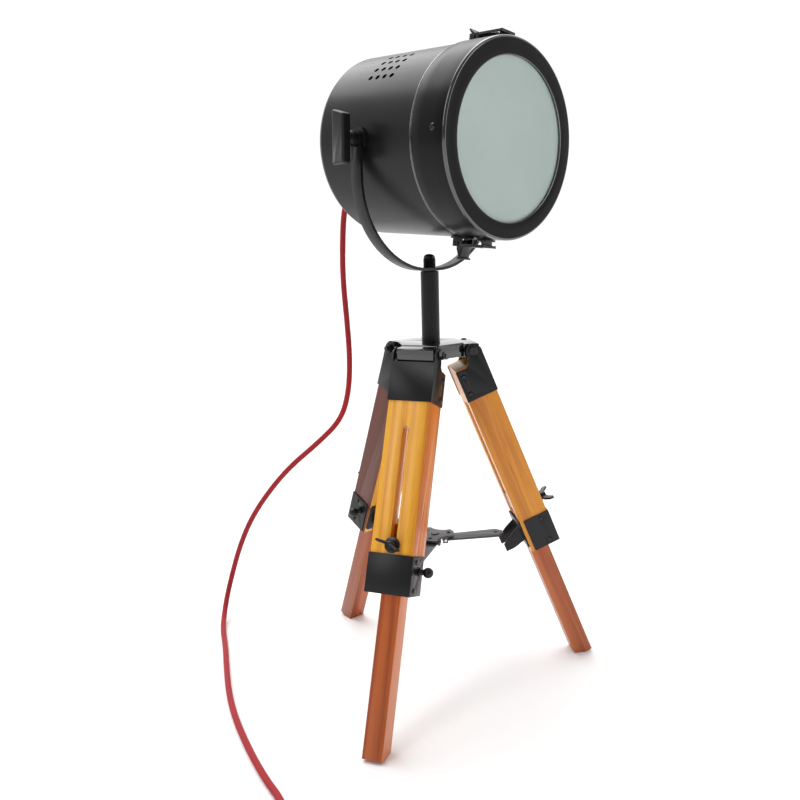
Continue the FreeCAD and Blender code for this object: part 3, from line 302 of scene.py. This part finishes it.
def nurbs_line(name, pts, res=10):
    cu = bpy.data.curves.new(name, "CURVE")
    cu.dimensions = "3D"
    cu.resolution_u = res
    sp = cu.splines.new("NURBS")
    sp.points.add(len(pts) - 1)
    for p, c in zip(sp.points, pts):
        p.co = (*c, 1.0)
    sp.order_u = 3
    sp.use_endpoint_u = True
    ob = bpy.data.objects.new(name, cu)
    me = bpy.data.meshes.new_from_object(ob)
    line = [v.co.copy() for v in me.vertices]
    bpy.data.meshes.remove(me)
    bpy.data.objects.remove(ob)
    bpy.data.curves.remove(cu)
    return line


def add_mesh(name, bm, mats, smooth=True, weld=0.0):
    me = bpy.data.meshes.new(name)
    if weld:
        bmesh.ops.remove_doubles(bm, verts=bm.verts, dist=weld)
    bm.normal_update()
    bm.to_mesh(me)
    bm.free()
    ob = bpy.data.objects.new(name, me)
    scene.collection.objects.link(ob)
    for mt in mats if isinstance(mats, (list, tuple)) else [mats]:
        me.materials.append(mt)
    for p in me.polygons:
        p.use_smooth = smooth
    return ob


def tube_mesh(name, line, rad, mat, sides=20, caps=True):
    """Round tube along a line, with u round it and v along it in metres."""
    bm = bmesh.new()
    uv = bm.loops.layers.uv.new("UVMap")
    n = len(line)
    tang = []
    for i in range(n):
        a, b = line[max(i - 1, 0)], line[min(i + 1, n - 1)]
        tang.append((b - a).normalized())
    ref = Vector((0, 0, 1)) if abs(tang[0].z) < 0.9 else Vector((1, 0, 0))
    nrm = (ref - tang[0] * ref.dot(tang[0])).normalized()
    rings, along = [], [0.0]
    for i in range(n):
        if i:
            along.append(along[-1] + (line[i] - line[i - 1]).length)
            q = tang[i - 1].rotation_difference(tang[i])
            nrm = (q @ nrm)
            nrm = (nrm - tang[i] * nrm.dot(tang[i])).normalized()
        bi = tang[i].cross(nrm)
        rings.append([bm.verts.new(line[i] + (nrm * math.cos(2 * math.pi * j / sides) + bi * math.sin(2 * math.pi * j / sides)) * rad) for j in range(sides)])
    for i in range(n - 1):
        for j in range(sides):
            j2 = (j + 1) % sides
            f = bm.faces.new((rings[i][j], rings[i][j2], rings[i + 1][j2], rings[i + 1][j]))
            us = (j / sides, (j + 1) / sides, (j + 1) / sides, j / sides)
            vs = (along[i], along[i], along[i + 1], along[i + 1])
            for l, u_, v_ in zip(f.loops, us, vs):
                l[uv].uv = (u_, v_)
    if caps:
        bm.faces.new(list(reversed(rings[0])))
        bm.faces.new(rings[-1])
    return add_mesh(name, bm, mat)


def braid(name, base, dark):
    """Textile braid: two sets of threads crossing over each other, with painted shade in the low parts between the
    threads.
    """
    mt, nt, bs = new_mat(name)
    uvn = nt.nodes.new("ShaderNodeUVMap")
    uvn.uv_map = "UVMap"
    sx = nt.nodes.new("ShaderNodeSeparateXYZ")
    nt.links.new(uvn.outputs[0], sx.inputs[0])
    u = math_node(nt, "MULTIPLY", sx.outputs[0], 2 * math.pi * 8)
    v = math_node(nt, "MULTIPLY", sx.outputs[1], 2 * math.pi / 0.0027)
    a = math_node(nt, "ADD", u, v)
    b = math_node(nt, "SUBTRACT", u, v)
    sa = math_node(nt, "ABSOLUTE", math_node(nt, "SINE", math_node(nt, "MULTIPLY", a, 0.5)))
    sb = math_node(nt, "ABSOLUTE", math_node(nt, "SINE", math_node(nt, "MULTIPLY", b, 0.5)))
    chk = math_node(nt, "GREATER_THAN", math_node(nt, "MULTIPLY", math_node(nt, "SINE", math_node(nt, "MULTIPLY", a, 0.25)), math_node(nt, "SINE", math_node(nt, "MULTIPLY", b, 0.25))), 0.0)
    h = math_node(nt, "ADD", math_node(nt, "MULTIPLY", sa, chk), math_node(nt, "MULTIPLY", sb, math_node(nt, "SUBTRACT", 1.0, chk)))
    fz = noise(nt, coords(nt), 900.0, 3, 0.6)
    slow = noise(nt, coords(nt), 30.0, 3, 0.5)
    hh = math_node(nt, "ADD", math_node(nt, "MULTIPLY", h, 0.8), math_node(nt, "MULTIPLY", fz, 0.35))
    # the low parts of the weave take the dark colour: painted shade between the threads
    col = ramp(nt, hh, [(0.12, dark), (0.55, tuple(0.5 * (x + y) for x, y in zip(base, dark))), (0.95, base)])
    col = mix_rgb(nt, math_node(nt, "MULTIPLY", slow, 0.35), col, tuple(min(1, c * 1.25 + 0.004) for c in base))
    nt.links.new(col, bs.inputs["Base Color"])
    nt.links.new(ramp(nt, fz, [(0.2, grey(0.62)), (0.8, grey(0.82))]), bs.inputs["Roughness"])
    bs.inputs["Sheen Weight"].default_value = 0.08
    bs.inputs["Sheen Roughness"].default_value = 0.4
    bs.inputs["Specular IOR Level"].default_value = 0.35
    bump(nt, bs, hh, 0.7, 0.00035)
    return mt


M_CORD = braid("red_braid", (0.40, 0.014, 0.020), (0.14, 0.005, 0.008))
line = nurbs_line("lead_line", route, 12)
# split where the lead has come clear of the head
cut_i = min(range(len(line)), key=lambda i: abs(line[i].z - 0.357) + (0 if line[i].y > 0 else 9))
top_line, main_line = line[:cut_i + 1], line[cut_i:]


def length_of(ln):
    return sum((b - a).length for a, b in zip(ln, ln[1:]))


lead_top = tube_mesh("lead_top", top_line, CR, M_CORD)
lead_main = tube_mesh("lead_main", main_line, CR, M_CORD)
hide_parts("cord_upper")
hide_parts("cord_lower", "cord_coil")
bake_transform(lead_top)
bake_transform(lead_main)

# ------------------------------------------------------------------ stage and light
M_FLOOR, nt, bs = new_mat("floor_paper")
v = coords(nt)
nt.links.new(ramp(nt, noise(nt, v, 3.0, 3, 0.5), [(0.3, grey(0.93)), (0.7, grey(0.95))]), bs.inputs["Base Color"])
nt.links.new(ramp(nt, noise(nt, v, 8.0, 3, 0.5), [(0.3, grey(0.75)), (0.7, grey(0.85))]), bs.inputs["Roughness"])
bs.inputs["Specular IOR Level"].default_value = 0.1
bm = bmesh.new()
bmesh.ops.create_grid(bm, x_segments=2, y_segments=2, size=30.0)
floor = add_mesh("floor", bm, M_FLOOR, smooth=False)

world = bpy.data.worlds.new("studio")
scene.world = world
world.use_nodes = True
wn = world.node_tree
# a white sweep behind and under the lamp, a dimmer room on the near side
tcw = wn.nodes.new("ShaderNodeTexCoord")
sxw = wn.nodes.new("ShaderNodeSeparateXYZ")
wn.links.new(tcw.outputs["Generated"], sxw.inputs[0])
rw = wn.nodes.new("ShaderNodeValToRGB")
rw.color_ramp.interpolation = "EASE"
rw.color_ramp.elements[0].position, rw.color_ramp.elements[0].color = 0.34, (0.27, 0.27, 0.275, 1)
rw.color_ramp.elements[1].position, rw.color_ramp.elements[1].color = 0.72, (1.04, 1.04, 1.04, 1)
mw = wn.nodes.new("ShaderNodeMath")
mw.operation = "MULTIPLY_ADD"
mw.inputs[1].default_value, mw.inputs[2].default_value = 0.5, 0.5
wn.links.new(sxw.outputs[1], mw.inputs[0])
wn.links.new(mw.outputs[0], rw.inputs[0])
wn.links.new(rw.outputs[0], wn.nodes["Background"].inputs[0])
wn.nodes["Background"].inputs[1].default_value = 1.0
scene.view_settings.view_transform = "Standard"
scene.view_settings.look = "None"


def area(name, loc, target, size, power, size_y=None):
    ld = bpy.data.lights.new(name, "AREA")
    ld.shape = "RECTANGLE"
    ld.size, ld.size_y = size, size_y or size
    ld.energy = power
    lo = bpy.data.objects.new(name, ld)
    scene.collection.objects.link(lo)
    lo.location = loc
    lo.rotation_euler = (Vector(target) - Vector(loc)).to_track_quat("-Z", "Y").to_euler()
    return lo


area("key", (-1.5, -1.2, 1.7), (0, 0, 0.4), 0.55, 12, 1.5)
area("rim", (1.5, -0.5, 1.0), (0, 0, 0.45), 0.4, 4, 1.3)
sun = bpy.data.lights.new("ceiling", "SUN")
sun.energy, sun.angle = 2.3, math.radians(64)
so = bpy.data.objects.new("ceiling", sun)
scene.collection.objects.link(so)
so.rotation_euler = (Vector((0, 0, 0)) - Vector((-0.25, 0.45, 1.0))).to_track_quat("-Z", "Y").to_euler()

# ------------------------------------------------------------------ materials
M_SATIN = painted("satin_black", (0.0045, 0.0042, 0.0043), 0.31, 0.05, 1700.0, 0.00004, spec=0.23)
M_BEZEL = painted("bezel_black", (0.0036, 0.0035, 0.0037), 0.29, 0.05, 1700.0, 0.00004, spec=0.13)
# lighter, glossier black for the bezel's rolled edge, its inner rim and the barrel bead: the lighter base colour is a
# painted highlight
M_EDGE_HIGHLIGHT = painted("gloss_edge_painted_highlight", (0.016, 0.016, 0.017), 0.16, 0.05, 1200.0, 0.00002, spec=0.9, coat=1.0, coat_rough=0.12, metallic=0.25)
M_GLOSS = painted("gloss_black", (0.006, 0.006, 0.007), 0.11, 0.04, 600.0, 0.00002, spec=0.6, coat=0.8, coat_rough=0.05)
M_STEEL = painted("enamel_black", (0.0062, 0.0062, 0.0075), 0.36, 0.06, 1200.0, 0.00004, spec=0.34)
M_PLASTIC = painted("moulded_black", (0.0060, 0.0060, 0.0068), 0.33, 0.05, 2600.0, 0.00003, spec=0.36)
M_FAST = painted("screw_black", (0.009, 0.009, 0.011), 0.24, 0.08, 900.0, 0.00003, spec=0.55, metallic=0.3)
M_GREY = painted("grey_enamel", (0.060, 0.058, 0.064), 0.36, 0.08, 1400.0, 0.00005, spec=0.4, metallic=0.1, tint=0.12)
M_BRIGHT = painted("bright_steel", (0.62, 0.61, 0.60), 0.24, 0.08, 900.0, 0.00003, metallic=1.0, tint=0.1)
M_PORC = painted("lampholder_black", (0.02, 0.02, 0.02), 0.4, 0.05)

# frosted glass: pale grey-green, fine ground texture, slightly cloudy
M_LENS, nt, bs = new_mat("frosted_glass")
v = coords(nt, HEAD)
cl = noise(nt, v, 7.0, 4, 0.55)
nt.links.new(ramp(nt, cl, [(0.28, (0.36, 0.435, 0.41)), (0.72, (0.43, 0.505, 0.48))]), bs.inputs["Base Color"])
nt.links.new(ramp(nt, cl, [(0.3, grey(0.40)), (0.7, grey(0.5))]), bs.inputs["Roughness"])
bs.inputs["Specular IOR Level"].default_value = 0.35
bs.inputs["Subsurface Weight"].default_value = 0.15
bs.inputs["Subsurface Scale"].default_value = 0.004
bump(nt, bs, noise(nt, v, 1500.0, 3, 0.6), 0.5, 0.00006)

M_OPAL, nt, bs = new_mat("opal_glass")
v = coords(nt, HEAD)
nt.links.new(ramp(nt, noise(nt, v, 20.0, 3, 0.5), [(0.3, (0.78, 0.77, 0.73)), (0.7, (0.84, 0.83, 0.80))]), bs.inputs["Base Color"])
nt.links.new(ramp(nt, noise(nt, v, 40.0, 3, 0.5), [(0.3, grey(0.18)), (0.7, grey(0.26))]), bs.inputs["Roughness"])
bs.inputs["Subsurface Weight"].default_value = 0.3
bs.inputs["Subsurface Scale"].default_value = 0.003

W_UP, W_LOW = {}, {}
# per-leg side-face colour multipliers (r, g, b) and the half-width beyond which a face counts as a side: painted shade
# on the upper legs, strongest on leg c; painted light and shade on the lower legs
SIDE_UP_SHADE = {"a": (0.84, 0.52, 0.86, 0.0213), "b": (0.93, 0.84, 0.95, 0.0213), "c": (0.13, 0.045, 0.13, 0.0213)}
SIDE_LO_LIGHT_SHADE = {"a": (1.35, 1.75, 3.4, 0.0098), "b": (1.25, 1.6, 3.0, 0.0098), "c": (0.8, 0.95, 1.8, 0.0098)}
for i, tag in enumerate("abc"):
    W_UP[tag] = wood("wood_upper_" + tag, tag, (0.88, 0.43, 0.036), (0.78, 0.33, 0.022), (0.56, 0.19, 0.012), SIDE_UP_SHADE[tag], 3.1 + 1.7 * i)
    W_LOW[tag] = wood("wood_lower_" + tag, tag, (0.49, 0.112, 0.018), (0.39, 0.076, 0.011), (0.27, 0.043, 0.006), SIDE_LO_LIGHT_SHADE[tag], 9.4 + 2.3 * i, 0.36)


def give(name, mat):
    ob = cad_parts[name]
    ob.data.materials.clear()
    ob.data.materials.append(mat)
    for p in ob.data.polygons:
        p.material_index = 0


# ------------------------------------------------------------------ pieces with eased edges, made from the CAD's own outline
def eased(node, body, mat, width=0.0006, segs=2, angle=28, smooth=True):
    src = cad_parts[node]
    bm = bmesh.new()
    bm.from_mesh(src.data)
    bmesh.ops.remove_doubles(bm, verts=bm.verts, dist=1e-6)
    bmesh.ops.dissolve_limit(bm, angle_limit=math.radians(0.6), verts=bm.verts, edges=bm.edges)
    ob = add_mesh(node + "_body", bm, mat)
    mod = ob.modifiers.new("ease", "BEVEL")
    mod.width = width
    mod.segments = segs
    mod.limit_method = "ANGLE"
    mod.angle_limit = math.radians(angle)
    mod.harden_normals = False
    mod.use_clamp_overlap = True
    dg = bpy.context.evaluated_depsgraph_get()
    me = bpy.data.meshes.new_from_object(ob.evaluated_get(dg))
    ob.modifiers.clear()
    old = ob.data
    ob.data = me
    bpy.data.meshes.remove(old)
    for p in me.polygons:
        p.use_smooth = True
    bm = bmesh.new()
    bm.from_mesh(me)
    for e in bm.edges:
        e.smooth = not (len(e.link_faces) == 2 and e.calc_face_angle(0) > math.radians(32))
    bm.to_mesh(me)
    bm.free()
    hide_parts(node)
    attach(ob, body)
    return ob


def lathe(name, prof, mats, body, segs=160, closed=True):
    """Ring turned about the head's own axis: profile points (x along, radius, material), in mm."""
    bm = bmesh.new()
    rows = []
    for j in range(segs):
        a = 2 * math.pi * j / segs
        rows.append([bm.verts.new(HEAD @ Vector((x * 0.001, r * 0.001 * math.sin(a), r * 0.001 * math.cos(a)))) for x, r, k in prof])
    n = len(prof)
    for j in range(segs):
        j2 = (j + 1) % segs
        for i in range(n if closed else n - 1):
            i2 = (i + 1) % n
            f = bm.faces.new((rows[j][i], rows[j][i2], rows[j2][i2], rows[j2][i]))
            f.material_index = prof[i][2]
    bmesh.ops.recalc_face_normals(bm, faces=bm.faces)
    ob = add_mesh(name, bm, mats)
    bm = bmesh.new()
    bm.from_mesh(ob.data)
    for e in bm.edges:
        e.smooth = not (len(e.link_faces) == 2 and e.calc_face_angle(0) > math.radians(34))
    bm.to_mesh(ob.data)
    bm.free()
    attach(ob, body)
    return ob


# bezel: plain band, small rolled front edge and an inner rim in a lighter glossy black that is a painted highlight
# line, flat face between
arc = [(106.3 + 2.2 * math.sin(math.radians(t)), 85.0 + 2.2 * math.cos(math.radians(t)), 1) for t in range(0, 91, 15)]
prof = [(68.9, 85.6, 0), (68.9, 86.7, 0), (69.05, 87.0, 1), (69.5, 87.2, 0)] + [(80.0, 87.2, 0), (95.0, 87.2, 0)] + arc[:-1] + [(108.5, 85.0, 0), (108.5, 78.0, 0), (108.5, 71.7, 1), (108.25, 71.0, 1), (107.7, 70.8, 1), (106.35, 70.8, 0), (106.35, 81.2, 0), (106.3, 85.0, 0), (104.3, 85.6, 0)]
bezel = lathe("bezel_band", prof, [M_BEZEL, M_EDGE_HIGHLIGHT], "head")
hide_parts("front_bezel")
# rolled bead at the barrel's front edge, all in the lighter glossy black that is a painted highlight line
bead = [(65.6, 85.7, 0), (65.9, 86.05, 0), (66.4, 86.3, 0), (67.0, 86.35, 0), (67.55, 86.15, 0), (67.88, 85.75, 0), (67.88, 84.3, 0), (65.6, 84.3, 0)]
bead_ob = lathe("barrel_bead", bead, [M_EDGE_HIGHLIGHT], "head")

for tag in "abc":
    eased("upper_leg_" + tag, "leg_" + tag, W_UP[tag], 0.0009, 3)
    eased("lower_leg_" + tag, "stick_" + tag, W_LOW[tag], 0.0008, 3)
    eased("leg_bracket_" + tag, "leg_" + tag, M_STEEL, 0.0004, 2)
    eased("leg_collar_" + tag, "leg_" + tag, M_STEEL, 0.0004, 2)
    eased("arm_bracket_" + tag, "leg_" + tag, M_STEEL, 0.0003, 2)
    eased("spreader_arm_" + tag, "arm_" + tag, M_GREY, 0.0003, 2)
    give("leg_screws_" + tag, M_FAST)
    eased("wing_screw_" + tag, "wing_" + tag, M_FAST, 0.0005, 2)
    eased("collar_knob_" + tag, "knob_" + tag, M_PLASTIC, 0.0003, 2)
eased("top_plate", "root", M_GLOSS, 0.0006, 3)
give("plate_screws", M_FAST)
give("spindle_tube", M_SATIN)
give("spindle_stud", M_FAST)
give("pivot_bolts", M_FAST)
eased("yoke_strap", "yoke", M_STEEL, 0.0004, 2)
give("body_shell", M_SATIN)
give("rear_cover", M_SATIN)
give("bezel_screws", M_FAST)
give("lens_glass", M_LENS)
give("lens_ring", M_SATIN)
give("pivot_bosses", M_STEEL)
give("lamp_bracket", M_BRIGHT)
give("lampholder", M_PORC)
give("bulb_cap", M_BRIGHT)
give("bulb_glass", M_OPAL)
give("cable_gland", M_PLASTIC)
give("switch_housing", M_PLASTIC)
give("switch_rocker", M_PLASTIC)
eased("latch_plates", "head", M_FAST, 0.0003, 2)
eased("latch_lever_top", "latch_top", M_FAST, 0.0003, 2)
eased("latch_lever_bottom", "latch_bottom", M_FAST, 0.0003, 2)
eased("tilt_knob_left", "knob_left", M_PLASTIC, 0.0005, 2)
eased("tilt_knob_right", "knob_right", M_PLASTIC, 0.0005, 2)
eased("spreader_hub", "hub", M_GREY, 0.0003, 2)
give("hub_pins", M_BRIGHT)
give("plug", M_PLASTIC)

# ------------------------------------------------------------------ the lead's facts
print("lead lengths", length_of(top_line), length_of(main_line))
